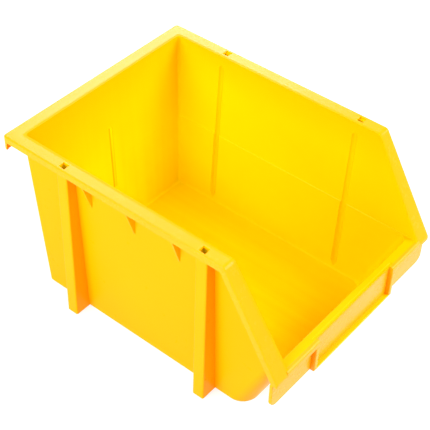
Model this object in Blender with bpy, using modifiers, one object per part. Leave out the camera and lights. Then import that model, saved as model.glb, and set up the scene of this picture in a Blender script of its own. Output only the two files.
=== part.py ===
"""Stackable hopper-front storage bin, modelled as the functional regions of its moulding.

Frame: +Z up, the open hopper front faces -Y, +X is to the right seen from the front.
The origin is the middle of the base, under the middle of the bin's overall box. Metres.
"""

import math

import bmesh
import bpy
from mathutils import Matrix, Vector

# Overall size
WIDTH = 0.210
LENGTH = 0.278
HEIGHT = 0.162
# Moulding
WALL = 0.0022
GAP = 0.0003
# Rim: a flat flange all round the top, with its outer edge turned down
SIDE_RIM = 0.0123
REAR_RIM = 0.0129
EDGE_DROP = 0.0064
EDGE_THICK = 0.0015
HOOK_DROP = 0.0138
HOOK_THICK = 0.0030
HOOK_ROUND = 0.0008
# Tub
BASE_HALF_WIDTH = 0.0879
REAR_LEAN = 0.0085
CREASE_FROM_REAR = 0.2247
LIP_HEIGHT = 0.078
LIP_FROM_REAR = 0.2664
SLOPE_FOOT_FROM_REAR = 0.2760
BASE_FRONT_FROM_REAR = 0.2391
BASE_CORNER = 0.015
TOP_CORNER = 0.008
CORNER_STEPS = 6
# Front: a skirt under the lip, with a label holder standing out from its middle
SKIRT_BOTTOM = 0.0455
SKIRT_HALF_WIDTH = 0.105
SKIRT_CORNER = 0.007
SKIRT_THICK = 0.0028
FIELD_FROM_REAR = 0.2743
HOLDER_HALF_WIDTH = 0.0545
HOLDER_CHEEK = 0.0042
HOLDER_BOTTOM = 0.0453
LEDGE_TOP = 0.0468
LIP_GROOVE = 0.0018
LIP_GROOVE_DEPTH = 0.0010
LIP_GROOVE_FROM_REAR = 0.2721
# How far the sloped rims run on below the lip's face
SLOPE_OVERRUN = 0.0025
# Stacking posts: hollow columns down each side, under square sockets in the rim
POST_FROM_REAR = (0.0626, 0.2024)
POST_WIDTH = 0.0110
POST_OUTER = 0.1032
POST_WALL = 0.0018
SOCKET = 0.0060
SOCKET_CENTRE = 0.0995
# Gussets under the side rims
GUSSETS_FROM_REAR = (0.0835, 0.1285, 0.1735)
GUSSET_THICK = 0.0020
GUSSET_DROP = 0.035
# Rib down the middle of the rear wall
RIB_WIDTH = 0.005
RIB_HEIGHT = 0.0008
RIB_SPAN = (0.050, 0.115)
RIB_TAPER = 0.7
# Reach of the helper blocks that cut
CUTTER_THICK = 0.020
CUTTER_TALL = 0.5

REAR = LENGTH / 2
HALF = WIDTH / 2
FLANGE_BOTTOM = HEIGHT - WALL
TOP_HALF_WIDTH = HALF - SIDE_RIM + WALL
SIDE_SLOPE = (TOP_HALF_WIDTH - BASE_HALF_WIDTH) / HEIGHT
REAR_WALL_TOP = REAR - REAR_RIM + WALL
REAR_WALL_BASE = REAR_WALL_TOP - REAR_LEAN
CREASE_Y = REAR - CREASE_FROM_REAR
LIP_INNER_Y = REAR - LIP_FROM_REAR
FRONT_Y = -LENGTH / 2
FIELD_Y = REAR - FIELD_FROM_REAR
SKIRT_FRONT_Y = FIELD_Y + GAP
LIP_BOTTOM = LIP_HEIGHT - WALL
FRONT_BASE_Y = REAR - BASE_FRONT_FROM_REAR
LIP_EDGE_BOTTOM = LIP_HEIGHT - EDGE_DROP
SLOPE_RUN = CREASE_FROM_REAR - SLOPE_FOOT_FROM_REAR
SLOPE_DIRECTION = Vector((SLOPE_RUN, LIP_HEIGHT - HEIGHT)).normalized()
SLOPE_NORMAL = Vector((SLOPE_DIRECTION.y, -SLOPE_DIRECTION.x))
SLOPE_LENGTH = (HEIGHT - LIP_HEIGHT + SLOPE_OVERRUN) / -SLOPE_DIRECTION.y


def clear_scene():
    for obj in list(bpy.data.objects):
        bpy.data.objects.remove(obj, do_unlink=True)


def new_collection(name):
    collection = bpy.data.collections.new(name)
    bpy.context.scene.collection.children.link(collection)
    return collection


def plastic(name, colour, roughness):
    """Moulded polypropylene: one Principled material per region of the bin."""
    material = bpy.data.materials.new(name)
    material.use_nodes = True
    shader = material.node_tree.nodes["Principled BSDF"]
    shader.inputs["Base Color"].default_value = (*colour, 1.0)
    shader.inputs["Roughness"].default_value = roughness
    shader.inputs["Metallic"].default_value = 0.0
    material.diffuse_color = (*colour, 1.0)
    return material


def place(obj, collection, material=None):
    for old in list(obj.users_collection):
        old.objects.unlink(obj)
    collection.objects.link(obj)
    if material:
        obj.data.materials.append(material)
    return obj


def basis(origin, x_axis, y_axis):
    """A placement whose local X and Y run along the two given directions."""
    x = Vector(x_axis).normalized()
    y = Vector(y_axis).normalized()
    z = x.cross(y)
    matrix = Matrix((x, y, z)).transposed().to_4x4()
    matrix.translation = origin
    return matrix


def flat_plate(name, points, thickness, placement, material):
    """A plate of even thickness from a closed outline, centred on the placement's XY plane."""
    curve = bpy.data.curves.new(name, "CURVE")
    curve.dimensions = "2D"
    curve.fill_mode = "BOTH"
    curve.extrude = thickness / 2
    spline = curve.splines.new("POLY")
    spline.points.add(len(points) - 1)
    for target, (x, y) in zip(spline.points, points):
        target.co = (x, y, 0.0, 1.0)
    spline.use_cyclic_u = True
    obj = bpy.data.objects.new(name, curve)
    obj.matrix_world = placement
    return place(obj, BIN, material)


def box(name, low, high, material=None, collection=None):
    """A rectangular block between two corners."""
    bpy.ops.mesh.primitive_cube_add(size=1.0)
    obj = bpy.context.object
    obj.name = name
    low, high = Vector(low), Vector(high)
    obj.data.transform(Matrix.Diagonal((*(high - low), 1.0)))
    obj.location = (low + high) / 2
    return place(obj, collection or BIN, material)


def loft(name, first, second, material):
    """A closed solid between two outlines with the same number of points."""
    mesh = bpy.data.meshes.new(name)
    bm = bmesh.new()
    rings = [[bm.verts.new(point) for point in ring] for ring in (first, second)]
    bm.faces.new(rings[0])
    bm.faces.new(reversed(rings[1]))
    count = len(first)
    for index in range(count):
        following = (index + 1) % count
        corners = (rings[0][index], rings[1][index], rings[1][following], rings[0][following])
        bm.faces.new(corners)
    bmesh.ops.recalc_face_normals(bm, faces=bm.faces)
    bm.to_mesh(mesh)
    bm.free()
    return place(bpy.data.objects.new(name, mesh), BIN, material)


def cut(obj, cutter):
    cutter.hide_render = True
    cutter.display_type = "WIRE"
    modifier = obj.modifiers.new("cut_" + cutter.name, "BOOLEAN")
    modifier.operation = "DIFFERENCE"
    modifier.solver = "EXACT"
    modifier.object = cutter


def soften(obj, width):
    """Rounds every sharp edge of a moulded block."""
    modifier = obj.modifiers.new("soften", "BEVEL")
    modifier.width = width
    modifier.segments = 1
    modifier.limit_method = "ANGLE"


def arc(centre_x, centre_y, radius, start, end, steps):
    """Points along a circular arc, angles in degrees."""
    points = []
    for step in range(steps + 1):
        angle = math.radians(start + (end - start) * step / steps)
        points.append((centre_x + radius * math.cos(angle), centre_y + radius * math.sin(angle)))
    return points


def side_name(side):
    return "left" if side < 0 else "right"


def outer_half_width(z):
    """Half the tub's outside width at a height: the side walls lean out towards the rim."""
    return BASE_HALF_WIDTH + SIDE_SLOPE * z


def front_outer_y(z):
    """The front wall's outer face at a height: it leans forward from the base to the lip."""
    lean = (LIP_INNER_Y - WALL - FRONT_BASE_Y) / LIP_BOTTOM
    return FRONT_BASE_Y + lean * z


def floor_panel():
    half = BASE_HALF_WIDTH - WALL - GAP
    front = FRONT_BASE_Y + WALL + GAP
    radius = BASE_CORNER - WALL
    back = REAR_WALL_BASE - WALL - GAP
    left = arc(-half + radius, front + radius, radius, 180, 270, CORNER_STEPS)
    right = arc(half - radius, front + radius, radius, 270, 360, CORNER_STEPS)
    outline = [(half, back), (-half, back)] + left + right
    centre = basis((0, 0, WALL / 2), (1, 0, 0), (0, 1, 0))
    flat_plate("floor_panel", outline, WALL, centre, PLASTIC["floor"])


def side_wall(side):
    """A leaning panel: level along the top, then falling along the hopper slope to the lip."""
    lean = math.hypot(SIDE_SLOPE, 1.0)
    top = FLANGE_BOTTOM - GAP
    bottom = GAP
    corner_base = FRONT_BASE_Y + BASE_CORNER + GAP
    corner_top = front_outer_y(LIP_BOTTOM) + TOP_CORNER + GAP
    under = SLOPE_NORMAL * -(WALL + GAP)
    slope_top = Vector((CREASE_Y, HEIGHT)) + under
    along_top = slope_top + SLOPE_DIRECTION * ((slope_top.y - top) / -SLOPE_DIRECTION.y)
    along_lip = slope_top + SLOPE_DIRECTION * ((slope_top.y - LIP_BOTTOM) / -SLOPE_DIRECTION.y)
    back_top = REAR_WALL_TOP - REAR_LEAN * (1 - top / HEIGHT)
    outline = [
        (REAR_WALL_BASE, bottom),
        (back_top, top),
        (along_top.x, top),
        (along_lip.x, LIP_BOTTOM),
        (corner_top, LIP_BOTTOM),
        (corner_base, bottom),
    ]
    outline = [(y, z * lean) for y, z in outline]
    middle = BASE_HALF_WIDTH - WALL / 2
    placement = basis((side * middle, 0, 0), (0, 1, 0), (side * SIDE_SLOPE, 0, 1))
    flat_plate(side_name(side) + "_wall", outline, WALL, placement, PLASTIC["wall"])


def rear_wall():
    slope = REAR_LEAN / HEIGHT
    top = (FLANGE_BOTTOM - GAP) * math.hypot(slope, 1.0)
    base_half = BASE_HALF_WIDTH - WALL - GAP
    top_half = outer_half_width(FLANGE_BOTTOM) - WALL - GAP
    outline = [(base_half, GAP), (top_half, top), (-top_half, top), (-base_half, GAP)]
    middle = REAR_WALL_BASE - WALL / 2
    placement = basis((0, middle, 0), (1, 0, 0), (0, slope, 1))
    flat_plate("rear_wall", outline, WALL, placement, PLASTIC["wall"])


def rear_wall_rib():
    """A shallow upright rib on the inner face of the rear wall."""
    slope = REAR_LEAN / HEIGHT
    low, high = RIB_SPAN
    half = RIB_WIDTH / 2
    narrow = half * RIB_TAPER
    outline = [(half, low), (narrow, high), (-narrow, high), (-half, low)]
    centre = REAR_WALL_BASE - WALL - GAP - RIB_HEIGHT / 2
    placement = basis((0, centre, 0), (1, 0, 0), (0, slope, 1))
    flat_plate("rear_wall_rib", outline, RIB_HEIGHT, placement, PLASTIC["wall"])


def front_wall():
    lean = (front_outer_y(LIP_BOTTOM) - FRONT_BASE_Y) / LIP_BOTTOM
    top = (LIP_BOTTOM - 3 * GAP) * math.hypot(lean, 1.0)
    base_half = BASE_HALF_WIDTH - BASE_CORNER - GAP
    top_half = outer_half_width(LIP_BOTTOM) - TOP_CORNER - GAP
    bottom = 3 * GAP
    outline = [(base_half, bottom), (top_half, top), (-top_half, top), (-base_half, bottom)]
    offset = WALL / 2 * math.hypot(lean, 1.0)
    placement = basis((0, FRONT_BASE_Y + offset, 0), (1, 0, 0), (0, lean, 1))
    flat_plate("front_wall", outline, WALL, placement, PLASTIC["wall"])


def corner_ring(side, z, radius):
    """The section of a rounded front corner at a height, outer arc then inner arc."""
    centre_x = outer_half_width(z) - radius
    centre_y = front_outer_y(z) + radius
    outer = arc(centre_x, centre_y, radius, 0, -90, CORNER_STEPS)
    inner = arc(centre_x, centre_y, radius - WALL, -90, 0, CORNER_STEPS)
    return [(side * x, y, z) for x, y in outer + inner]


def front_corner(side):
    """The rounded upright corner between a side wall and the leaning front wall."""
    low = corner_ring(side, GAP, BASE_CORNER)
    high = corner_ring(side, LIP_BOTTOM - GAP, TOP_CORNER)
    loft("front_" + side_name(side) + "_corner", low, high, PLASTIC["wall"])


def side_rim(side):
    """The level flange over a side wall, with a square socket above each post."""
    inner, outer = HALF - SIDE_RIM, HALF
    profile = [(CREASE_Y, HEIGHT), (REAR, HEIGHT), (REAR, FLANGE_BOTTOM)]
    mitre = Vector((CREASE_Y, HEIGHT)) - (SLOPE_NORMAL + Vector((0, 1))).normalized() * WALL
    profile.append((mitre.x, FLANGE_BOTTOM))
    first = [(side * inner, y, z) for y, z in profile]
    second = [(side * outer, y, z) for y, z in profile]
    rim = loft(side_name(side) + "_rim", first, second, PLASTIC["rim"])
    for number, distance in enumerate(POST_FROM_REAR):
        centre = Vector((side * SOCKET_CENTRE, REAR - distance, HEIGHT - WALL / 2))
        reach = Vector((SOCKET / 2, SOCKET / 2, WALL))
        name = f"{side_name(side)}_socket_{number}"
        cut(rim, box(name, centre - reach, centre + reach, collection=CUTTERS))


def rim_edge(side):
    """The turned-down outer edge of a side rim."""
    low = Vector((HALF - EDGE_THICK, CREASE_Y + 2 * WALL, HEIGHT - EDGE_DROP))
    high = Vector((HALF, REAR - HOOK_THICK - GAP, FLANGE_BOTTOM - GAP))
    box(side_name(side) + "_rim_edge", *mirrored(side, low, high), PLASTIC["rim"])


def sloped_rim(side):
    """The flange that falls from the crease to the lip, widening as the wall leans in."""
    start = Vector((CREASE_Y, HEIGHT)) + SLOPE_DIRECTION * GAP
    end = Vector((CREASE_Y, HEIGHT)) + SLOPE_DIRECTION * SLOPE_LENGTH
    bisector = (SLOPE_NORMAL + Vector((0, 1))).normalized()
    mitre = start - bisector * WALL / bisector.dot(SLOPE_NORMAL)
    under_end = end - SLOPE_NORMAL * WALL
    profile = [start, end, under_end, mitre]
    outer = [(side * HALF, point.x, point.y) for point in profile]
    inner = [(side * (outer_half_width(point.y) - WALL), point.x, point.y) for point in profile]
    loft(side_name(side) + "_sloped_rim", inner, outer, PLASTIC["rim"])


def sloped_edge(side):
    """The turned-down outer edge of a sloped rim."""
    start = Vector((CREASE_Y, HEIGHT)) + SLOPE_DIRECTION * (EDGE_DROP / 2) - SLOPE_NORMAL * (WALL + GAP)
    end = start + SLOPE_DIRECTION * (SLOPE_LENGTH - EDGE_DROP / 2)
    drop = SLOPE_NORMAL * -(EDGE_DROP - WALL - GAP)
    profile = [start, end, end + drop, start + drop]
    outer = [(side * HALF, point.x, point.y) for point in profile]
    inner = [(side * (HALF - EDGE_THICK), point.x, point.y) for point in profile]
    loft(side_name(side) + "_sloped_edge", inner, outer, PLASTIC["rim"])


def rear_rim():
    inner = HALF - SIDE_RIM - GAP
    box("rear_rim", (-inner, REAR - REAR_RIM, FLANGE_BOTTOM), (inner, REAR, HEIGHT), PLASTIC["rim"])


def hanging_lip():
    """The hook along the back: the rear edge turned down for hanging on a rail."""
    low = (-HALF, REAR - HOOK_THICK, HEIGHT - HOOK_DROP)
    high = (HALF, REAR, FLANGE_BOTTOM - GAP)
    soften(box("hanging_lip", low, high, PLASTIC["rim"]), HOOK_ROUND)


def front_lip():
    """The level lip over the front wall, cut back over the label holder, with a card groove."""
    half = outer_half_width(LIP_BOTTOM) - WALL - GAP
    lip = box("front_lip", (-half, FRONT_Y, LIP_BOTTOM), (half, LIP_INNER_Y, LIP_HEIGHT), PLASTIC["lip"])
    window = HOLDER_HALF_WIDTH - HOLDER_CHEEK
    recess = box("label_recess", (-window, -LENGTH, 0), (window, FIELD_Y, HEIGHT), collection=CUTTERS)
    cut(lip, recess)
    centre = Vector((0, REAR - LIP_GROOVE_FROM_REAR, LIP_HEIGHT))
    reach = Vector((HOLDER_HALF_WIDTH, LIP_GROOVE / 2, LIP_GROOVE_DEPTH))
    cut(lip, box("lip_groove", centre - reach, centre + reach, collection=CUTTERS))


def lip_edge(side):
    """The turned-down front edge of the lip, on one side of the label holder."""
    low = Vector((HOLDER_HALF_WIDTH + GAP, FRONT_Y, LIP_EDGE_BOTTOM))
    high = Vector((outer_half_width(LIP_BOTTOM) - WALL - GAP, FRONT_Y + EDGE_THICK, LIP_BOTTOM - GAP))
    box(side_name(side) + "_lip_edge", *mirrored(side, low, high), PLASTIC["rim"])


def front_skirt():
    """The plate that hangs from the lip in front of the front wall, round at its low corners."""
    half, radius = SKIRT_HALF_WIDTH, SKIRT_CORNER
    low = SKIRT_BOTTOM
    top = LIP_EDGE_BOTTOM
    left = arc(-half + radius, low + radius, radius, 180, 270, CORNER_STEPS)
    right = arc(half - radius, low + radius, radius, 270, 360, CORNER_STEPS)
    inset = outer_half_width(LIP_BOTTOM) - WALL - GAP
    step = [(half, top), (inset, top), (inset, LIP_BOTTOM - GAP)]
    outline = step + [(-x, z) for x, z in reversed(step)] + left + right
    placement = basis((0, SKIRT_FRONT_Y + SKIRT_THICK / 2, 0), (1, 0, 0), (0, 0, 1))
    flat_plate("front_skirt", outline, SKIRT_THICK, placement, PLASTIC["skirt"])


def label_cheek(side):
    """One upright end of the label holder, standing forward of the skirt."""
    inner = HOLDER_HALF_WIDTH - HOLDER_CHEEK
    low = Vector((inner, FRONT_Y, HOLDER_BOTTOM))
    high = Vector((HOLDER_HALF_WIDTH, SKIRT_FRONT_Y - GAP, LIP_BOTTOM - GAP))
    box("label_cheek_" + side_name(side), *mirrored(side, low, high), PLASTIC["skirt"])


def label_ledge():
    """The shelf between the cheeks that a label card stands on."""
    half = HOLDER_HALF_WIDTH - HOLDER_CHEEK - GAP
    low = (-half, FRONT_Y, HOLDER_BOTTOM)
    high = (half, SKIRT_FRONT_Y - GAP, LEDGE_TOP)
    box("label_ledge", low, high, PLASTIC["lip"])


def stacking_post(side, number, distance):
    """A hollow column, open below and towards the wall it stands against."""
    middle = REAR - distance
    wall_out = BASE_HALF_WIDTH + GAP
    low = Vector((wall_out - WALL, middle - POST_WIDTH / 2, 0))
    high = Vector((POST_OUTER, middle + POST_WIDTH / 2, FLANGE_BOTTOM - GAP))
    inset = Vector((0, POST_WALL, 0))
    hollow_low = Vector((low.x - WALL, low.y, -WALL)) + inset
    hollow_high = Vector((high.x - POST_WALL, high.y, HEIGHT)) - inset
    name = f"{side_name(side)}_{('rear', 'front')[number]}_post"
    post = box(name, *mirrored(side, low, high), PLASTIC["post"])
    hollow = box(name + "_hollow", *mirrored(side, hollow_low, hollow_high), collection=CUTTERS)
    cut(post, hollow)
    cut(post, wall_cutter(side, name, middle))


def mirrored(side, low, high):
    """The two corners of a block, carried to the given side of the bin."""
    if side > 0:
        return low, high
    return Vector((-high.x, low.y, low.z)), Vector((-low.x, high.y, high.z))


def wall_cutter(side, name, middle):
    """A slab with the side wall's lean, which trims a post to stand clear of the wall."""
    low, high = (-CUTTER_THICK, -POST_WIDTH, -CUTTER_TALL), (0, POST_WIDTH, CUTTER_TALL)
    cutter = box(name + "_wall", low, high, collection=CUTTERS)
    centre = Vector((side * (BASE_HALF_WIDTH + GAP - CUTTER_THICK / 2), middle, 0))
    lean = Matrix.Rotation(side * math.atan(SIDE_SLOPE), 4, "Y")
    cutter.matrix_world = Matrix.Translation(centre) @ lean
    return cutter


def gusset(side, number, distance):
    """A thin triangular web between the side wall and the underside of the rim."""
    top = FLANGE_BOTTOM - GAP
    low = top - GUSSET_DROP
    outer = HALF - EDGE_THICK - GAP
    clear = GAP + SIDE_SLOPE * GAP
    outline = [
        (side * (outer_half_width(top) + clear), top),
        (side * outer, top),
        (side * outer, top - EDGE_DROP),
        (side * (outer_half_width(low) + clear), low),
    ]
    placement = basis((0, REAR - distance, 0), (1, 0, 0), (0, 0, 1))
    name = f"{side_name(side)}_gusset_{number + 1}"
    flat_plate(name, outline, GUSSET_THICK, placement, PLASTIC["post"])


def build():
    floor_panel()
    rear_wall()
    rear_wall_rib()
    front_wall()
    rear_rim()
    hanging_lip()
    front_lip()
    front_skirt()
    label_ledge()
    for side in (-1, 1):
        side_wall(side)
        front_corner(side)
        side_rim(side)
        rim_edge(side)
        sloped_rim(side)
        sloped_edge(side)
        lip_edge(side)
        label_cheek(side)
        for number, distance in enumerate(POST_FROM_REAR):
            stacking_post(side, number, distance)
        for number, distance in enumerate(GUSSETS_FROM_REAR):
            gusset(side, number, distance)


clear_scene()
BIN = new_collection("stackable_storage_bin")
CUTTERS = new_collection("cutters")
PLASTIC = {
    "floor": plastic("floor_plastic", (0.95, 0.58, 0.01), 0.42),
    "wall": plastic("wall_plastic", (0.96, 0.62, 0.01), 0.38),
    "rim": plastic("rim_plastic", (0.96, 0.66, 0.03), 0.34),
    "lip": plastic("lip_plastic", (0.96, 0.66, 0.02), 0.34),
    "skirt": plastic("skirt_plastic", (0.96, 0.64, 0.03), 0.36),
    "post": plastic("post_plastic", (0.96, 0.62, 0.01), 0.38),
}
build()
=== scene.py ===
"""Looks of the stackable storage bin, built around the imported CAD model.

The real bin is one yellow polypropylene moulding. Here it is a set of smooth pieces that meet
flush: the tub with the lip's flat top, the rim in five lengths, the lip's turned-down edges, the
skirt with its label holder, the stacking posts, the gussets and a rib. Metres, Z up, the open
hopper front faces -Y.
"""

import math

import bmesh
import bpy
from mathutils import Matrix, Vector


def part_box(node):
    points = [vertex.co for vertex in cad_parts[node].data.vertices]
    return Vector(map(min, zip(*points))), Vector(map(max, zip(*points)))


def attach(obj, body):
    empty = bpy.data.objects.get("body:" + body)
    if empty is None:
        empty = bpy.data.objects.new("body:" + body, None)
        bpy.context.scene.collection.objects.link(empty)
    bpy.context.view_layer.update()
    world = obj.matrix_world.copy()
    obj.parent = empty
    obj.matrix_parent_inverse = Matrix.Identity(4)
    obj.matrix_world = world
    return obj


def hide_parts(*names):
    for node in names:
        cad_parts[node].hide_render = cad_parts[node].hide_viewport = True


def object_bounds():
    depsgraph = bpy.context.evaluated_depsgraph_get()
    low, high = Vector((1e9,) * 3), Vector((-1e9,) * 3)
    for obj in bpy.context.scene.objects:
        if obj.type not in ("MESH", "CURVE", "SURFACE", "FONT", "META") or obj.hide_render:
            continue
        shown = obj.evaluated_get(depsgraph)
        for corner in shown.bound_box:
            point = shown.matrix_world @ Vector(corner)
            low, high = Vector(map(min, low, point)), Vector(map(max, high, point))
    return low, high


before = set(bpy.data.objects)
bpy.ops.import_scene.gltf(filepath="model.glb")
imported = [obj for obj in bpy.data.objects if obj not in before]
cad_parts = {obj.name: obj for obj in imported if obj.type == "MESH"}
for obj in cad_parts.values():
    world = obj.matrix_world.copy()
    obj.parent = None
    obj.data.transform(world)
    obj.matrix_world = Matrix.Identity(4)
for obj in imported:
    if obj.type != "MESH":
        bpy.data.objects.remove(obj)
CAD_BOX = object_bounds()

# The gap between the CAD's solids
GAP = 0.0003

# Sizes read from the frame
LOW, HIGH = (Vector(corner) for corner in CAD_BOX)
HALF = HIGH.x
REAR = HIGH.y
FRONT = LOW.y
TOP = HIGH.z
FLOOR_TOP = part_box("floor_panel")[1].z
WALL = FLOOR_TOP
BASE_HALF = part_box("floor_panel")[1].x + WALL + GAP
SIDE_RIM_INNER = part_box("right_rim")[0].x
TOP_HALF = SIDE_RIM_INNER + WALL
CREASE_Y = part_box("right_rim")[0].y
REAR_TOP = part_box("rear_rim")[0].y + WALL
REAR_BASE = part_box("floor_panel")[1].y + WALL + GAP
FRONT_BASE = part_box("floor_panel")[0].y - WALL - GAP
LIP_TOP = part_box("front_lip")[1].z
LIP_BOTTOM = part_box("front_lip")[0].z
LIP_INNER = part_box("front_lip")[1].y
EDGE_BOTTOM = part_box("left_lip_edge")[0].z
EDGE_DROP = LIP_TOP - EDGE_BOTTOM
EDGE_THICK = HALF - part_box("right_rim_edge")[0].x
HOOK_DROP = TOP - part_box("hanging_lip")[0].z
HOOK_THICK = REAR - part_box("hanging_lip")[0].y
SKIRT_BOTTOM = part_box("front_skirt")[0].z
SKIRT_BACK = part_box("front_skirt")[1].y
HOLDER_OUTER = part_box("label_cheek_right")[1].x
HOLDER_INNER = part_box("label_cheek_right")[0].x
HOLDER_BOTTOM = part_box("label_ledge")[0].z
LEDGE_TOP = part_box("label_ledge")[1].z
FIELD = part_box("front_skirt")[0].y - GAP
POST_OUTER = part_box("right_rear_post")[1].x
POST_NAMES = ("rear", "front")
GUSSET_NUMBERS = (1, 2, 3)

# Where the slopes meet the level of the lip
FOOT_Y = -0.1370

# Radii of corners and rounded edges
BASE_CORNER = 0.015
LIP_CORNER = 0.008
REAR_CORNER = 0.0040
REAR_CORNER_INNER = 0.0030
BASE_ROUND = 0.0015
FLOOR_FILLET = 0.0024
LIP_ROUND = 0.0012
TOP_ROUND = 0.0009
EDGE_ROUND = 0.0013
LIP_EDGE_ROUND = 0.0022
EDGE_END_ROUND = 0.0006
HOOK_END_ROUND = 0.0012
CREASE_ROUND = 0.0045
FOOT_ROUND = 0.0045
RIM_CORNER = 0.0030
SKIRT_CORNER = 0.007
SKIRT_ROUND = 0.0008
HOLDER_ROUND = 0.0009
LEDGE_ROUND = 0.0005

# Steps, grooves and the rib inside the tub
SIDE_STEP = 0.0008
REAR_STEP = 0.00005
WALL_GROOVE_RADIUS = 0.0036
WALL_GROOVE_DEPTH = 0.0011
WALL_GROOVE_SPAN = (0.012, 0.150)
WALL_GROOVE_END = 0.4
CARD_GROOVE_RADIUS = 0.0016
CARD_GROOVE_DEPTH = 0.0004
CARD_GROOVE_Y = -0.1337
RIB_HALF = 0.0013
RIB_FLANK = 0.0014
RIB_HEIGHT = 0.0006
RIB_SPAN = (0.050, 0.115)
RIB_FLANK_LEAN = 0.3

# Stacking posts and the square sockets above them
POST_WALL = 0.0018
POST_ROUND = 0.0014
POST_EMBED = 0.0006
POST_FOOT_ROUND = POST_WALL / 4
SOCKET = 0.0062
SOCKET_CENTRE = 0.0995

# Painted light: how far a face's colour is lifted towards lemon to stand for light through the thin
# plastic and into the cavity; 1 is all the way.
# It falls from the base to the rim, rises towards the rear, and most in the rear right corner
BASE_PAINTED_LIGHT = 1.1
TOP_PAINTED_LIGHT = 0.16
REAR_PAINTED_LIGHT_RISE = 0.15
CORNER_PAINTED_LIGHT_RISE = 0.40
# Painted shade: faces in the side walls' grooves keep only this share of the painted light
GROOVE_PAINTED_SHADE = 0.75
# Painted shade: the rear rib's sloping sides keep only this share of the painted light on its face
RIB_FLANK_PAINTED_SHADE = 0.2
# Painted light on the lip's flat top
LIP_PAINTED_LIGHT = 0.2
# Painted light on the label holder's ledge
LEDGE_PAINTED_LIGHT = 0.35
# Painted light on the gussets' front sides
GUSSET_PAINTED_LIGHT = 0.4
# Painted light on the columns' front sides, which lie in shade
POST_PAINTED_LIGHT = 0.1
# Painted light inside the sockets
SOCKET_PAINTED_LIGHT = 0.4
# Painted light in the columns' hollows, which light barely reaches
HOLLOW_PAINTED_LIGHT = 1.0
# How much of a unit normal must point one way for a face to count as facing that way
LIP_LEAN = 0.5

# Modelling: steps of curves, overshoots of cutters, and how near counts as touching
ARC_STEPS = 8
SMALL_STEPS = 4
EDGE_STEPS = 3
FOOT_STEPS = 2
WALL_GROOVE_STEPS = 24
CARD_GROOVE_STEPS = 32
CLEAR = 0.020
OVERSHOOT = CLEAR / 4
TOUCHING = GAP / 3
RECESS_CLEAR = GAP / 6
MERGE_DISTANCE = 1e-7
SEAM_DISTANCE = 1e-6
BEVEL_ANGLE = 25.0
SHARP_ANGLE = 38.0
NORMAL_WEIGHT = 90

# Plastic: albedos, then roughness, depth of grain and specular level of each finish
YELLOW = (0.97, 0.355, 0.0)
AMBER = (0.96, 0.34, 0.0)
# The next colour is the one that painted light lifts a face's colour towards
PAINTED_LIGHT_LEMON = (0.98, 0.785, 0.0)
FINISHES = {
    "wall_plastic": (0.30, 0.00002, 0.02),
    "rim_plastic": (0.24, 0.00002, 0.14),
    "lip_plastic": (0.32, 0.00002, 0.22),
    "skirt_plastic": (0.24, 0.00002, 0.17),
    "post_plastic": (0.30, 0.00002, 0.04),
}
PLASTIC_IOR = 1.5
# Scale, detail and roughness of each noise
NOISES = {
    "drift": (9.0, 2.0, 0.5),
    "flow": (22.0, 3.0, 0.5),
    "streak": (130.0, 2.0, 0.5),
    "scuff": (60.0, 6.0, 0.7),
    "grain": (1400.0, 3.0, 0.6),
    "sag": (28.0, 1.0, 0.5),
}
NOISE_MIDDLE = (0.3, 0.7)
FLOW_STRETCH = (1.0, 0.25, 0.35)
FLOW_LIFT = 1.15
FLOW_RANGE = (0.45, 0.8)
FLOW_SHARE = 0.16
STREAK_STRETCH = (1.0, 0.02, 0.02)
STREAK_SHARE = 0.08
# Rounded edges drawn lighter, towards the pale flow colour: radius and samples of the rounding
# test, the facing range that counts, and how far
EDGE_LIFT_RADIUS = 0.0006
EDGE_LIFT_SAMPLES = 4
EDGE_LIFT_RANGE = (0.75, 0.98)
EDGE_LIFT_SHARE = 0.35
SCUFF_SPREAD = (0.85, 1.3)
SAG_DEPTH = 0.0001

# Studio: soft boxes as name, place, size in metres and power in watts
SOFTBOXES = (
    ("left_softbox", (-1.4, 0.25, 0.95), 1.2, 38.0),
    ("right_front_softbox", (0.7, -1.2, 1.1), 1.2, 38.0),
    ("right_rear_softbox", (1.05, 1.0, 1.0), 0.75, 17.0),
)
WORLD_STRENGTH = 0.48
FLOOR_SIZE = 8.0
FLOOR_ALBEDO = 0.35
FLOOR_ROUGHNESS = 0.9
FLOOR_GLOW = 0.70

# Camera, at the photograph's viewing angle
CAMERA_PLACE = (-0.55333, -0.42589, 0.73344)
CAMERA_AZIMUTH = -52.032
CAMERA_ELEVATION = 42.781
CAMERA_ROLL = 2.068
CAMERA_LENS = 96.09


def outer_half(z):
    """Half the tub's outside width at a height."""
    return BASE_HALF + (TOP_HALF - BASE_HALF) * z / TOP


def inner_half(z):
    """Half the tub's inside width at a height, above the side step."""
    return outer_half(z) - WALL


def rear_outer(z):
    """The rear wall's outer face at a height: it leans back towards the rim."""
    return REAR_BASE + (REAR_TOP - REAR_BASE) * z / TOP


def front_outer(z):
    """The front wall's outer face at a height: it leans forward towards the lip."""
    return FRONT_BASE + (LIP_INNER - WALL - FRONT_BASE) * z / LIP_BOTTOM


def front_corner(z):
    """The radius of the tub's outer front corners at a height."""
    return BASE_CORNER + (LIP_CORNER - BASE_CORNER) * z / LIP_BOTTOM


def side_name(side):
    """The name of the side that a sign stands for."""
    return "left" if side < 0 else "right"


def arc(x, y, radius, start, end, steps):
    """Points along a circular arc, angles in degrees; a zero radius gives the centre alone."""
    if not radius:
        return [(x, y)]
    turns = [math.radians(start + (end - start) * step / steps) for step in range(steps + 1)]
    return [(x + radius * math.cos(turn), y + radius * math.sin(turn)) for turn in turns]


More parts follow.
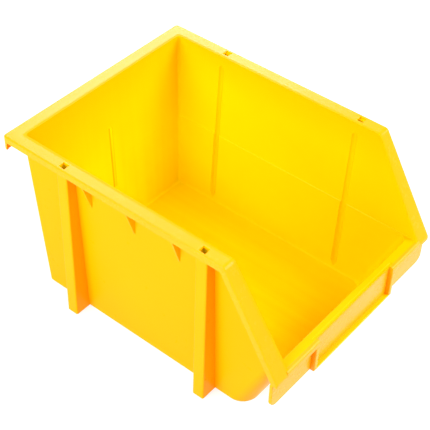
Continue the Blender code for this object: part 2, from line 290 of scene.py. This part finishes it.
def plan_ring(z, half, front, back, front_radius, back_radius):
    """The tub's outline in plan at a height, anticlockwise from its front right corner."""
    right = arc(half - front_radius, front + front_radius, front_radius, 270, 360, ARC_STEPS)
    right += arc(half - back_radius, back - back_radius, back_radius, 0, 90, ARC_STEPS)
    left = [(-x, y) for x, y in reversed(right)]
    return [(x, y, z) for x, y in right + left]


def skin(rings):
    """A closed solid through matching rings of points, capped at both ends."""
    bm = bmesh.new()
    loops = [[bm.verts.new(point) for point in ring] for ring in rings]
    count = len(loops[0])
    for first, second in zip(loops, loops[1:]):
        for index in range(count):
            following = (index + 1) % count
            bm.faces.new((first[index], first[following], second[following], second[index]))
    bm.faces.new(reversed(loops[0]))
    bm.faces.new(loops[-1])
    bmesh.ops.remove_doubles(bm, verts=bm.verts, dist=MERGE_DISTANCE)
    bmesh.ops.dissolve_degenerate(bm, edges=bm.edges, dist=MERGE_DISTANCE)
    bmesh.ops.recalc_face_normals(bm, faces=bm.faces)
    return bm


def mesh_object(name, bm):
    """An object in the scene whose mesh is the given one, which is freed."""
    mesh = bpy.data.meshes.new(name)
    bm.to_mesh(mesh)
    bm.free()
    obj = bpy.data.objects.new(name, mesh)
    bpy.context.scene.collection.objects.link(obj)
    return obj


def combine(obj, other, operation):
    """Applies one exact Boolean and removes the other object."""
    modifier = obj.modifiers.new("combine", "BOOLEAN")
    modifier.operation = operation
    modifier.solver = "EXACT"
    modifier.object = other
    graph = bpy.context.evaluated_depsgraph_get()
    result = bpy.data.meshes.new_from_object(obj.evaluated_get(graph))
    obj.modifiers.clear()
    obj.data = result
    bpy.data.objects.remove(other)


def block(low, high):
    """The eight-cornered solid between two corners, as rings from bottom to top."""
    (x0, y0, z0), (x1, y1, z1) = low, high
    return skin([[(x0, y0, z), (x1, y0, z), (x1, y1, z), (x0, y1, z)] for z in (z0, z1)])


def round_edges(bm, width, steps, chosen):
    """Rounds those sharp edges of a solid whose two ends a test chooses."""
    sharp = [edge for edge in bm.edges if edge.calc_face_angle(0.0) > math.radians(BEVEL_ANGLE)]
    sharp = [edge for edge in sharp if all(chosen(vert.co) for vert in edge.verts)]
    bmesh.ops.bevel(
        bm, geom=sharp, offset=width, offset_type="OFFSET", segments=steps, profile=0.5,
        affect="EDGES", clamp_overlap=True, miter_outer="ARC",
    )


def finish_piece(obj, material, *nodes):
    """Smooth shading, the finish and the body it rides on; hides the CAD nodes it stands for."""
    mesh = obj.data
    mesh.materials.clear()
    mesh.materials.append(MATERIALS[material])
    mesh.shade_smooth()
    mesh.set_sharp_from_angle(angle=math.radians(SHARP_ANGLE))
    normals = obj.modifiers.new("even_normals", "WEIGHTED_NORMAL")
    normals.keep_sharp = True
    normals.weight = NORMAL_WEIGHT
    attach(obj, "root")
    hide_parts(*nodes)


# ---- the path of the rim, seen from the side ----

def turn_between(corner, before, after, radius, steps):
    """Points of a round bend of some radius between two straight runs that meet at a corner."""
    half_turn = before.angle(after) / 2
    reach = radius * math.tan(half_turn)
    start = corner - before * reach
    across = (after - before).normalized()
    centre = corner + across * radius / math.cos(half_turn)
    spoke = start - centre
    sense = math.copysign(1.0, before.cross(after))
    turned = [sense * 2 * half_turn * step / steps for step in range(steps + 1)]
    return [centre + Matrix.Rotation(angle, 2) @ spoke for angle in turned]


def rim_path(depth):
    """The side rim's run in (y, z), some depth under its face: level, down the slope, upright."""
    level, upright = Vector((-1.0, 0.0)), Vector((0.0, -1.0))
    crease = Vector((CREASE_Y, TOP))
    slope = (Vector((FOOT_Y, LIP_TOP)) - crease).normalized()
    normal = Vector((slope.y, -slope.x))
    under = crease - normal * depth
    top_corner = under + slope * ((under.y - (TOP - depth)) / -slope.y)
    foot_corner = under + slope * ((FRONT + depth - under.x) / slope.x)
    crease_radius = max(CREASE_ROUND - depth, GAP)
    foot_radius = max(FOOT_ROUND - depth, GAP)
    points = [Vector((REAR_TOP - REAR_CORNER, TOP - depth))]
    points += turn_between(top_corner, level, slope, crease_radius, ARC_STEPS)
    points += turn_between(foot_corner, slope, upright, foot_radius, ARC_STEPS)
    points.append(Vector((FRONT + depth, EDGE_BOTTOM)))
    return points


# ---- the tub ----

def tub_outside():
    """The outside of the tub: rounded at the base, straight-sided above the lip."""
    rings = []
    for step in range(SMALL_STEPS + 1):
        turn = math.radians(90 * step / SMALL_STEPS)
        inset = BASE_ROUND * (1 - math.sin(turn))
        z = BASE_ROUND * (1 - math.cos(turn))
        rings.append(outside_ring(z, inset))
    rings.append(outside_ring(LIP_BOTTOM, 0.0))
    rings.append(outside_ring(LIP_BOTTOM + WALL / 3, WALL / 4))
    lower = mesh_object("tub", skin(rings))
    upper = [
        plan_ring(z, outer_half(z), FRONT - OVERSHOOT, rear_outer(z), 0.0, REAR_CORNER)
        for z in (LIP_BOTTOM, TOP)
    ]
    combine(lower, mesh_object("upper", skin(upper)), "UNION")
    return lower


def outside_ring(z, inset):
    """The tub's outside in plan at a height, drawn in by an inset."""
    return plan_ring(
        z,
        outer_half(z) - inset,
        front_outer(z) + inset,
        rear_outer(z) - inset,
        front_corner(z) - inset,
        REAR_CORNER - inset,
    )


def lower_cavity():
    """The cavity under the lip: a fillet at the floor, and the lip's rounded inner edge."""
    rings = []
    for step in range(SMALL_STEPS + 1):
        turn = math.radians(90 * step / SMALL_STEPS)
        inset = FLOOR_FILLET * (1 - math.sin(turn))
        z = FLOOR_TOP + FLOOR_FILLET * (1 - math.cos(turn))
        rings.append(cavity_ring(z, inset, inset))
    for step in range(SMALL_STEPS + 1):
        turn = math.radians(90 * step / SMALL_STEPS)
        z = LIP_TOP - LIP_ROUND * (1 - math.sin(turn))
        opening = 1 - math.cos(turn)
        rings.append(cavity_ring(z, -REAR_STEP / 2 * opening, -LIP_ROUND * opening))
    rings.append(cavity_ring(LIP_TOP + WALL / 4, -REAR_STEP / 2, -LIP_ROUND))
    return mesh_object("lower_cavity", skin(rings))


def cavity_ring(z, inset, front_inset):
    """The cavity in plan at a height under the lip, drawn in by one inset, and another in front."""
    front = max(front_outer(z) + WALL, LIP_INNER)
    return plan_ring(
        z,
        inner_half(z) - SIDE_STEP - inset,
        front + front_inset,
        rear_outer(z) - WALL - REAR_STEP - inset,
        front_corner(min(z, LIP_BOTTOM)) - WALL - front_inset,
        REAR_CORNER_INNER - inset,
    )


def upper_cavity():
    """The cavity above the lip, open in front, with a chamfered step in the side walls."""
    rings = []
    for z, step in ((LIP_TOP, SIDE_STEP), (LIP_TOP + SIDE_STEP, 0.0), (TOP + CLEAR, 0.0)):
        back = rear_outer(z) - WALL
        half = inner_half(z) - step
        rings.append(plan_ring(z, half, FRONT - CLEAR, back, 0.0, REAR_CORNER_INNER))
    return mesh_object("upper_cavity", skin(rings))


def mouth_cutter():
    """Everything in front of and above the rim's own path, across the whole width."""
    profile = [(point.x, point.y) for point in rim_path(0.0)[1:-1]]
    last = profile[-1]
    low = LIP_BOTTOM - OVERSHOOT
    profile += [(last[0], low), (FRONT - CLEAR, low)]
    profile += [(FRONT - CLEAR, TOP + CLEAR), (profile[0][0], TOP + CLEAR)]
    rings = [[(x, y, z) for y, z in profile] for x in (-HALF - CLEAR, HALF + CLEAR)]
    return mesh_object("mouth", skin(rings))


def wall_groove(side, middle):
    """A shallow upright groove, fading out at both ends, in a side wall's inner face."""
    low, high = WALL_GROOVE_SPAN
    fade = 2 * WALL_GROOVE_RADIUS
    rings = []
    ends = ((low - fade, WALL_GROOVE_END), (low, 1.0), (high, 1.0), (high + fade, WALL_GROOVE_END))
    for z, share in ends:
        x = inner_half(z) - WALL_GROOVE_RADIUS + WALL_GROOVE_DEPTH
        circle = arc(side * x, middle, WALL_GROOVE_RADIUS * share, 0, 360, WALL_GROOVE_STEPS)[:-1]
        rings.append([(x, y, z) for x, y in circle])
    return mesh_object("groove", skin(rings))


def on_rim_face(point):
    """Whether a point of the tub lies on the rim's upper face and on the cavity's side of it."""
    if abs(point.x) > inner_half(point.z) + GAP / 2 or point.y > rear_outer(point.z) - WALL / 2:
        return False
    if point.y > CREASE_Y + CREASE_ROUND:
        return abs(point.z - TOP) < TOUCHING
    path = rim_path(0.0)
    for start, end in zip(path, path[1:]):
        run = end - start
        share = (Vector((point.y, point.z)) - start).dot(run) / run.length_squared
        nearest = start + run * min(max(share, 0.0), 1.0)
        if (nearest - Vector((point.y, point.z))).length < TOUCHING:
            return True
    return False


def on_field_edge(point):
    """Whether a point is on the lip's front edge above the label field."""
    return abs(point.y - FIELD) < TOUCHING and abs(point.z - LIP_TOP) < TOUCHING


def set_painted_light(mesh, painted_light):
    """Gives each face the painted light that a rule names for it."""
    marks = mesh.attributes.new("painted_light", "FLOAT", "FACE")
    for face, mark in zip(mesh.polygons, marks.data):
        mark.value = painted_light(face)


def paint_cavity_light(mesh):
    """Painted light on the tub's faces, corner by corner: only those that face the cavity are
    lifted towards lemon.
    """
    marks = mesh.attributes.new("painted_light", "FLOAT", "CORNER")
    heart = Vector((0.0, 0.0, LIP_TOP / 2))
    for face in mesh.polygons:
        x, y, z = face.center
        step = SIDE_STEP if z < LIP_TOP + SIDE_STEP else 0.0
        in_groove = abs(x) > inner_half(z) - step + TOUCHING and face.normal.z < LIP_LEAN
        inwards = face.normal.dot(heart - face.center) > 0
        level = face.normal.z > LIP_LEAN and abs(z - LIP_TOP) < LIP_ROUND
        on_lip = level and y < LIP_INNER + BASE_CORNER
        for index in face.loop_indices:
            place = mesh.vertices[mesh.loops[index].vertex_index].co
            # Painted light: most at the base, less towards the rim, more towards the rear and most
            # in the rear right corner
            share = BASE_PAINTED_LIGHT + (TOP_PAINTED_LIGHT - BASE_PAINTED_LIGHT) * place.z / TOP
            twist = CORNER_PAINTED_LIGHT_RISE * (place.x / HALF) * min(place.z / LIP_TOP, 1.0)
            share *= 1 + (REAR_PAINTED_LIGHT_RISE + twist) * place.y / REAR
            # the lip's flat top gets its own, smaller painted light
            if on_lip:
                marks.data[index].value = LIP_PAINTED_LIGHT
            elif inwards:
                # faces in the grooves get painted shade
                marks.data[index].value = share * (GROOVE_PAINTED_SHADE if in_groove else 1.0)


def tub():
    """The tub in one piece, from its floor to the rim's inner edge, with the lip's flat top."""
    shell = tub_outside()
    combine(shell, upper_cavity(), "DIFFERENCE")
    combine(shell, lower_cavity(), "DIFFERENCE")
    combine(shell, mouth_cutter(), "DIFFERENCE")
    reach = inner_half(LIP_TOP) - SIDE_STEP - RECESS_CLEAR
    recess = block((-reach, FRONT - CLEAR, LIP_BOTTOM - OVERSHOOT), (reach, FIELD, LIP_TOP + GAP))
    combine(shell, mesh_object("recess", recess), "DIFFERENCE")
    height = LIP_TOP - CARD_GROOVE_DEPTH + CARD_GROOVE_RADIUS
    circle = arc(CARD_GROOVE_Y, height, CARD_GROOVE_RADIUS, 0, 360, CARD_GROOVE_STEPS)[:-1]
    ends = (-HOLDER_OUTER, HOLDER_OUTER)
    groove = skin([[(x, y, z) for y, z in circle] for x in ends])
    combine(shell, mesh_object("card_groove", groove), "DIFFERENCE")
    for side in (-1, 1):
        for which in POST_NAMES:
            combine(shell, wall_groove(side, post_middle(side, which)), "DIFFERENCE")
    bm = bmesh.new()
    bm.from_mesh(shell.data)
    bmesh.ops.remove_doubles(bm, verts=bm.verts, dist=SEAM_DISTANCE)
    round_edges(bm, TOP_ROUND, EDGE_STEPS, on_rim_face)
    round_edges(bm, TOP_ROUND, EDGE_STEPS, on_field_edge)
    bm.to_mesh(shell.data)
    bm.free()
    paint_cavity_light(shell.data)
    finish_piece(
        shell, "wall_plastic", "floor_panel", "rear_wall", "left_wall", "right_wall", "front_wall",
        "front_left_corner", "front_right_corner", "front_lip",
    )


# ---- the rim ----

def edge_profile(drop, thick, top_round, end_round):
    """The outer part of the rim's section, as (inset from the outer face, depth) pairs."""
    points = arc(top_round, top_round, top_round, 270, 180, SMALL_STEPS)
    points += arc(end_round, drop - end_round, end_round, 180, 90, SMALL_STEPS)
    points += arc(thick - end_round, drop - end_round, end_round, 90, 0, SMALL_STEPS)
    return points + [(thick, WALL)]


def side_rim(side):
    """The level rim over a side wall, with its turned-down edge and a socket above each post."""
    loops = side_loops(side)[:2]
    rim = mesh_object(side_name(side) + "_rim_run", skin(loops))
    for which in POST_NAMES:
        middle = post_middle(side, which)
        centre = Vector((side * SOCKET_CENTRE, middle, TOP))
        reach = Vector((SOCKET / 2, SOCKET / 2, 2 * WALL))
        combine(rim, mesh_object("socket", block(centre - reach, centre + reach)), "DIFFERENCE")
    set_painted_light(rim.data, socket_painted_light_share)
    name = side_name(side)
    finish_piece(rim, "rim_plastic", name + "_rim", name + "_rim_edge")


def socket_painted_light_share(face):
    """The painted light on a rim's face: the sockets' insides are painted bright, standing for
    light through the rim.
    """
    side = math.copysign(1.0, face.center.x)
    for which in POST_NAMES:
        away = face.center - Vector((side * SOCKET_CENTRE, post_middle(side, which), TOP))
        inside = max(abs(away.x), abs(away.y)) < SOCKET / 2 + TOUCHING
        if inside and away.z < -TOUCHING:
            return SOCKET_PAINTED_LIGHT
    return 0.0


def side_loops(side):
    """The side rim's sections, from the tub's rear corner to the foot of the slope."""
    profile = edge_profile(EDGE_DROP, EDGE_THICK, EDGE_ROUND, EDGE_END_ROUND)
    runs = {depth: rim_path(depth) for depth in {0.0, WALL} | {depth for _, depth in profile}}
    loops = []
    for station in range(len(runs[0.0])):
        top, under = runs[0.0][station], runs[WALL][station]
        loop = [(side * outer_half(top.y), top.x, top.y)]
        for inset, depth in profile:
            point = runs[depth][station]
            loop.append((side * (HALF - inset), point.x, point.y))
        loop.append((side * outer_half(under.y), under.x, under.y))
        loops.append(loop)
    return loops


def sloped_rim(side):
    """The rim down the hopper's side, round at the crease and at its foot."""
    rim = mesh_object(side_name(side) + "_sloped_run", skin(side_loops(side)[1:]))
    name = side_name(side)
    finish_piece(rim, "rim_plastic", name + "_sloped_rim", name + "_sloped_edge")


def rear_rim():
    """The rim round the back, whose edge is drawn down into a hook for hanging."""
    start = REAR_TOP - REAR_CORNER
    hook_start = REAR - RIM_CORNER
    stations = (
        (start, EDGE_DROP, EDGE_THICK),
        (hook_start - WALL / 2, EDGE_DROP, EDGE_THICK),
        (hook_start - WALL / 4, HOOK_DROP - HOOK_END_ROUND, HOOK_THICK - EDGE_ROUND),
    )
    loops = []
    for y, drop, thick in stations:
        profile = edge_profile(drop, thick, EDGE_ROUND, EDGE_END_ROUND)
        outer = [(-HALF + inset, y, TOP - depth) for inset, depth in profile]
        loops.append(rear_loop(0.0, outer))
    profile = edge_profile(HOOK_DROP, HOOK_THICK, EDGE_ROUND, HOOK_END_ROUND)
    for step in range(ARC_STEPS + 1):
        turn = math.radians(180 - 90 * step / ARC_STEPS)
        outer = []
        for inset, depth in profile:
            radius = RIM_CORNER - inset
            x = -HALF + RIM_CORNER + radius * math.cos(turn)
            y = REAR - RIM_CORNER + radius * math.sin(turn)
            outer.append((x, y, TOP - depth))
        loops.append(rear_loop((step + 1) / (ARC_STEPS + 1), outer))
    loops += [[(-x, y, z) for x, y, z in loop] for loop in reversed(loops)]
    rim = mesh_object("rear_rim_run", skin(loops))
    finish_piece(rim, "rim_plastic", "rear_rim", "hanging_lip")


def rear_loop(share, outer):
    """One section of the rear rim, closed along the tub's outer face at its rounded corner."""
    turn = math.radians(180 - 90 * share)
    ends = []
    for z in (TOP, TOP - WALL):
        x = -outer_half(z) + REAR_CORNER + REAR_CORNER * math.cos(turn)
        y = rear_outer(z) - REAR_CORNER + REAR_CORNER * math.sin(turn)
        ends.append((x, y, z))
    return [ends[0]] + outer + [ends[1]]


# ---- the lip, the skirt and the label holder ----

def lip_edge(side):
    """The lip's front edge beside the label field, turned down in front of the skirt."""
    profile = edge_profile(EDGE_DROP, EDGE_THICK, LIP_EDGE_ROUND, EDGE_END_ROUND)
    section = [(FIELD, LIP_TOP)]
    section += [(FRONT + inset, LIP_TOP - depth) for inset, depth in profile]
    section.append((FIELD, LIP_TOP - WALL))
    ends = (HOLDER_INNER, outer_half(LIP_TOP))
    loops = [[(side * x, y, z) for y, z in section] for x in ends]
    edge = mesh_object(side_name(side) + "_lip_front", skin(loops))
    low = Vector((HOLDER_INNER, FRONT + EDGE_THICK / 2, EDGE_BOTTOM))
    high = Vector((HOLDER_OUTER, FIELD, LIP_TOP - WALL / 2))
    low.x, high.x = sorted((side * low.x, side * high.x))
    combine(edge, mesh_object("cheek_top", block(low, high)), "UNION")
    finish_piece(edge, "lip_plastic", side_name(side) + "_lip_edge")


def front_skirt():
    """The plate that hangs from the lip, round at its low corners."""
    low = arc(HALF - SKIRT_CORNER, SKIRT_BOTTOM + SKIRT_CORNER, SKIRT_CORNER, -90, 0, ARC_STEPS)
    within, beside = HALF - EDGE_THICK, outer_half(LIP_TOP) - EDGE_END_ROUND
    right = low + [(HALF, EDGE_BOTTOM), (within, EDGE_BOTTOM), (within, LIP_TOP)]
    right += [(beside, LIP_TOP), (beside, LIP_BOTTOM)]
    outline = right + [(-x, z) for x, z in reversed(right)]
    loops = [[(x, y, z) for x, z in outline] for y in (FIELD, SKIRT_BACK)]
    bm = skin(loops)
    round_edges(bm, SKIRT_ROUND, EDGE_STEPS, lambda point: point.z < EDGE_BOTTOM + GAP)
    finish_piece(mesh_object("skirt_plate", bm), "skirt_plastic", "front_skirt")


def label_cheek(side):
    """One upright end of the label holder, rounded where it stands forward."""
    low = Vector((HOLDER_INNER, FRONT, HOLDER_BOTTOM))
    high = Vector((HOLDER_OUTER, FIELD + WALL / 2, EDGE_BOTTOM))
    low.x, high.x = sorted((side * low.x, side * high.x))
    bm = block(low, high)
    round_edges(bm, HOLDER_ROUND, EDGE_STEPS, lambda point: point.y < FIELD)
    cheek = mesh_object(side_name(side) + "_holder_cheek", bm)
    finish_piece(cheek, "skirt_plastic", "label_cheek_" + side_name(side))


def label_ledge():
    """The shelf between the cheeks, with a rounded front edge."""
    reach = HOLDER_INNER + HOLDER_ROUND
    bm = block((-reach, FRONT, HOLDER_BOTTOM), (reach, FIELD + WALL / 2, LEDGE_TOP))
    round_edges(bm, LEDGE_ROUND, EDGE_STEPS, lambda point: point.y < FIELD)
    ledge = mesh_object("holder_ledge", bm)
    # Painted light on the whole ledge
    set_painted_light(ledge.data, lambda face: LEDGE_PAINTED_LIGHT)
    finish_piece(ledge, "lip_plastic", "label_ledge")


# ---- posts, gussets and the rib ----

def post_middle(side, which):
    """The middle of a stacking post along Y."""
    low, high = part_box(f"{side_name(side)}_{which}_post")
    return (low.y + high.y) / 2


def stacking_post(side, which):
    """A hollow column under a socket, open at the foot, whose fourth side lies on the tub."""
    node = f"{side_name(side)}_{which}_post"
    low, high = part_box(node)
    top = TOP - WALL
    loops = [post_ring(side, z, low.y, high.y) for z in (0.0, top)]
    bm = skin(loops)
    round_edges(bm, POST_FOOT_ROUND, FOOT_STEPS, lambda point: point.z < GAP)
    column = mesh_object(node.replace("post", "column"), bm)
    lining = []
    for z in (0.0, top):
        near, far = side * (outer_half(z) - POST_EMBED), side * (outer_half(z) + GAP)
        front, back = low.y + POST_WALL / 2, high.y - POST_WALL / 2
        lining.append([(near, front, z), (far, front, z), (far, back, z), (near, back, z)])
    combine(column, mesh_object("lining", skin(lining)), "UNION")
    centre = Vector((side * SOCKET_CENTRE, post_middle(side, which)))
    half = (high.y - low.y - POST_WALL) / 2
    set_painted_light(column.data, lambda face: post_painted_light_share(face, centre, half))
    finish_piece(column, "post_plastic", node)


def post_painted_light_share(face, centre, half):
    """The painted light on a column's face: painted bright in the hollow, a little lifted on the
    front side.
    """
    away = face.center.xy - centre
    if abs(away.y) < half and abs(face.center.x) < POST_OUTER - POST_WALL / 2:
        return HOLLOW_PAINTED_LIGHT
    return POST_PAINTED_LIGHT if face.normal.y < -LIP_LEAN else 0.0


def post_ring(side, z, low_y, high_y):
    """The column's section at a height, from one foot at the wall round to the other."""
    inner_x = outer_half(z) - POST_EMBED
    corner = POST_OUTER - POST_ROUND
    outer = [(inner_x, low_y)] + arc(corner, low_y + POST_ROUND, POST_ROUND, -90, 0, SMALL_STEPS)
    outer += arc(corner, high_y - POST_ROUND, POST_ROUND, 0, 90, SMALL_STEPS) + [(inner_x, high_y)]
    back = POST_OUTER - POST_WALL
    hollow = [(inner_x, high_y - POST_WALL), (back, high_y - POST_WALL)]
    hollow += [(back, low_y + POST_WALL), (inner_x, low_y + POST_WALL)]
    return [(side * x, y, z) for x, y in outer + hollow]


def gusset(side, number):
    """A thin triangular web between the side wall and the underside of the rim."""
    node = f"{side_name(side)}_gusset_{number}"
    low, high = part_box(node)
    top = TOP - WALL
    shoulder = TOP - EDGE_DROP
    outline = [
        (outer_half(top) - POST_EMBED, top),
        (HALF - EDGE_THICK, top),
        (HALF - EDGE_THICK, shoulder),
        (outer_half(low.z) - POST_EMBED, low.z),
    ]
    loops = [[(side * x, y, z) for x, z in outline] for y in (low.y, high.y)]
    bm = skin(loops)
    round_edges(bm, GAP, FOOT_STEPS, lambda point: point.z < shoulder + GAP)
    web = mesh_object(node.replace("gusset", "web"), bm)
    # Painted light on the web's front side
    set_painted_light(web.data, lambda face: GUSSET_PAINTED_LIGHT if face.normal.y < -LIP_LEAN else 0.0)
    finish_piece(web, "post_plastic", node)


def wall_rib():
    """The shallow rib up the middle of the rear wall's inner face, with sloping sides."""
    loops = []
    for z in RIB_SPAN:
        back = rear_outer(z) - WALL + GAP
        face = rear_outer(z) - WALL - REAR_STEP - RIB_HEIGHT
        half, flank = RIB_HALF, RIB_FLANK
        ring = [(-half - flank, back), (half + flank, back), (half, face), (-half, face)]
        loops.append([(x, y, z) for x, y in ring])
    rib = mesh_object("rear_rib", skin(loops))
    # Painted light on the rib's face, and painted shade on its sloping sides
    middle = (BASE_PAINTED_LIGHT + TOP_PAINTED_LIGHT) / 2
    set_painted_light(
        rib.data, lambda face: middle * (RIB_FLANK_PAINTED_SHADE if abs(face.normal.x) > RIB_FLANK_LEAN else 1.0)
    )
    finish_piece(rib, "wall_plastic", "rear_wall_rib")


# ---- materials ----

def noise(nodes, links, coordinates, name):
    """One of the named noises, as a value round the middle of its range."""
    scale, detail, roughness = NOISES[name]
    texture = nodes.new("ShaderNodeTexNoise")
    texture.inputs["Scale"].default_value = scale
    texture.inputs["Detail"].default_value = detail
    texture.inputs["Roughness"].default_value = roughness
    links.new(coordinates, texture.inputs["Vector"])
    return texture.outputs["Fac"]


def spread(nodes, links, value, low, high, source=NOISE_MIDDLE):
    """Maps part of a texture's range onto the range from low to high."""
    mapping = nodes.new("ShaderNodeMapRange")
    mapping.inputs["From Min"].default_value = source[0]
    mapping.inputs["From Max"].default_value = source[1]
    mapping.inputs["To Min"].default_value = low
    mapping.inputs["To Max"].default_value = high
    links.new(value, mapping.inputs["Value"])
    return mapping.outputs["Result"]


def blend_colour(nodes, links, share, first, second):
    """Mixes two colours, each a plain colour or another node's output."""
    mix = nodes.new("ShaderNodeMix")
    mix.data_type = "RGBA"
    for socket, value in (("A", first), ("B", second)):
        target = next(item for item in mix.inputs if item.name == socket and item.type == "RGBA")
        if isinstance(value, tuple):
            target.default_value = (*value, 1.0)
        else:
            links.new(value, target)
    links.new(share, mix.inputs["Factor"])
    return next(item for item in mix.outputs if item.type == "RGBA")


def stretched(nodes, links, coordinates, scale):
    """Coordinates scaled along each axis: a small factor draws a texture out that way."""
    mapping = nodes.new("ShaderNodeMapping")
    mapping.inputs["Scale"].default_value = scale
    links.new(coordinates, mapping.inputs["Vector"])
    return mapping.outputs["Vector"]


def polypropylene(name, roughness, grain, specular):
    """Glossy yellow polypropylene: slow colour drift, flow marks, fine mould grain and scuffs."""
    material = bpy.data.materials.new(name)
    material.use_nodes = True
    nodes, links = material.node_tree.nodes, material.node_tree.links
    shader = nodes["Principled BSDF"]
    place = nodes.new("ShaderNodeTexCoord").outputs["Object"]

    drift = spread(nodes, links, noise(nodes, links, place, "drift"), 0.0, 1.0)
    base = blend_colour(nodes, links, drift, YELLOW, AMBER)
    # Painted light: each face's painted light share lifts its colour towards lemon
    inside = nodes.new("ShaderNodeAttribute")
    inside.attribute_name = "painted_light"
    base = blend_colour(nodes, links, inside.outputs["Fac"], base, PAINTED_LIGHT_LEMON)
    flow = noise(nodes, links, stretched(nodes, links, place, FLOW_STRETCH), "flow")
    streak = noise(nodes, links, stretched(nodes, links, place, STREAK_STRETCH), "streak")
    pale = tuple(min(1.0, channel * FLOW_LIFT) for channel in YELLOW)
    streak_share = spread(nodes, links, streak, 0.0, STREAK_SHARE)
    base = blend_colour(nodes, links, streak_share, base, AMBER)
    flow_share = spread(nodes, links, flow, 0.0, FLOW_SHARE, FLOW_RANGE)
    base = blend_colour(nodes, links, flow_share, base, pale)

    # Rounded edges drawn lighter: where the rounded normal turns from the face's own, the colour
    # goes towards the pale flow colour
    rounded = nodes.new("ShaderNodeBevel")
    rounded.samples = EDGE_LIFT_SAMPLES
    rounded.inputs["Radius"].default_value = EDGE_LIFT_RADIUS
    facing = nodes.new("ShaderNodeVectorMath")
    facing.operation = "DOT_PRODUCT"
    links.new(rounded.outputs["Normal"], facing.inputs[0])
    links.new(nodes.new("ShaderNodeNewGeometry").outputs["Normal"], facing.inputs[1])
    edge = spread(nodes, links, facing.outputs["Value"], EDGE_LIFT_SHARE, 0.0, EDGE_LIFT_RANGE)
    base = blend_colour(nodes, links, edge, base, pale)
    links.new(base, shader.inputs["Base Color"])

    scuffs = noise(nodes, links, place, "scuff")
    sheen = spread(nodes, links, scuffs, *(roughness * share for share in SCUFF_SPREAD))
    links.new(sheen, shader.inputs["Roughness"])

    bump = nodes.new("ShaderNodeBump")
    bump.inputs["Strength"].default_value = 1.0
    bump.inputs["Distance"].default_value = grain
    links.new(noise(nodes, links, place, "grain"), bump.inputs["Height"])
    sag = nodes.new("ShaderNodeBump")
    sag.inputs["Strength"].default_value = 1.0
    sag.inputs["Distance"].default_value = SAG_DEPTH
    links.new(noise(nodes, links, place, "sag"), sag.inputs["Height"])
    links.new(bump.outputs["Normal"], sag.inputs["Normal"])
    links.new(sag.outputs["Normal"], shader.inputs["Normal"])
    shader.inputs["IOR"].default_value = PLASTIC_IOR
    shader.inputs["Specular IOR Level"].default_value = specular
    return material


MATERIALS = {name: polypropylene(name, *finish) for name, finish in FINISHES.items()}


# ---- the studio ----

def studio_floor():
    """A wide pale floor, bright enough to wash out most of the bin's shadow."""
    bpy.ops.mesh.primitive_plane_add(size=FLOOR_SIZE, location=(0.0, 0.0, -TOUCHING))
    floor = bpy.context.object
    floor.name = "studio_floor"
    material = bpy.data.materials.new("studio_floor")
    material.use_nodes = True
    shader = material.node_tree.nodes["Principled BSDF"]
    shader.inputs["Base Color"].default_value = (FLOOR_ALBEDO, FLOOR_ALBEDO, FLOOR_ALBEDO, 1.0)
    shader.inputs["Roughness"].default_value = FLOOR_ROUGHNESS
    shader.inputs["Specular IOR Level"].default_value = 0.0
    shader.inputs["Emission Color"].default_value = (1.0, 1.0, 1.0, 1.0)
    shader.inputs["Emission Strength"].default_value = FLOOR_GLOW
    floor.data.materials.append(material)


def softbox(name, place, size, power):
    """A large square light that faces the middle of the bin."""
    light = bpy.data.lights.new(name, "AREA")
    light.shape = "SQUARE"
    light.size = size
    light.energy = power
    obj = bpy.data.objects.new(name, light)
    obj.location = place
    towards = Vector((0.0, 0.0, TOP / 2)) - Vector(place)
    obj.rotation_euler = towards.to_track_quat("-Z", "Y").to_euler()
    bpy.context.scene.collection.objects.link(obj)


def studio():
    """An even white surround, the floor and the soft boxes."""
    scene = bpy.context.scene
    world = bpy.data.worlds.new("studio")
    world.use_nodes = True
    background = world.node_tree.nodes["Background"]
    background.inputs["Color"].default_value = (1.0, 1.0, 1.0, 1.0)
    background.inputs["Strength"].default_value = WORLD_STRENGTH
    scene.world = world
    scene.view_settings.view_transform = "Standard"
    studio_floor()
    for box in SOFTBOXES:
        softbox(*box)


def camera():
    """The photograph's viewing angle, with a small roll."""
    azimuth, elevation, roll = (
        math.radians(angle) for angle in (CAMERA_AZIMUTH, CAMERA_ELEVATION, CAMERA_ROLL)
    )
    flat = math.cos(elevation)
    back = Vector((math.sin(azimuth) * flat, -math.cos(azimuth) * flat, math.sin(elevation)))
    level = Vector((math.cos(azimuth), math.sin(azimuth), 0.0))
    right = Matrix.Rotation(roll, 3, back) @ level
    up = back.cross(right)
    matrix = Matrix((right, up, back)).transposed().to_4x4()
    matrix.translation = CAMERA_PLACE
    data = bpy.data.cameras.new("camera")
    data.lens = CAMERA_LENS
    obj = bpy.data.objects.new("camera", data)
    obj.matrix_world = matrix
    bpy.context.scene.collection.objects.link(obj)
    bpy.context.scene.camera = obj


camera()
studio()
tub()
rear_rim()
front_skirt()
label_ledge()
wall_rib()
for side in (-1, 1):
    side_rim(side)
    sloped_rim(side)
    lip_edge(side)
    label_cheek(side)
    for which in POST_NAMES:
        stacking_post(side, which)
    for number in GUSSET_NUMBERS:
        gusset(side, number)
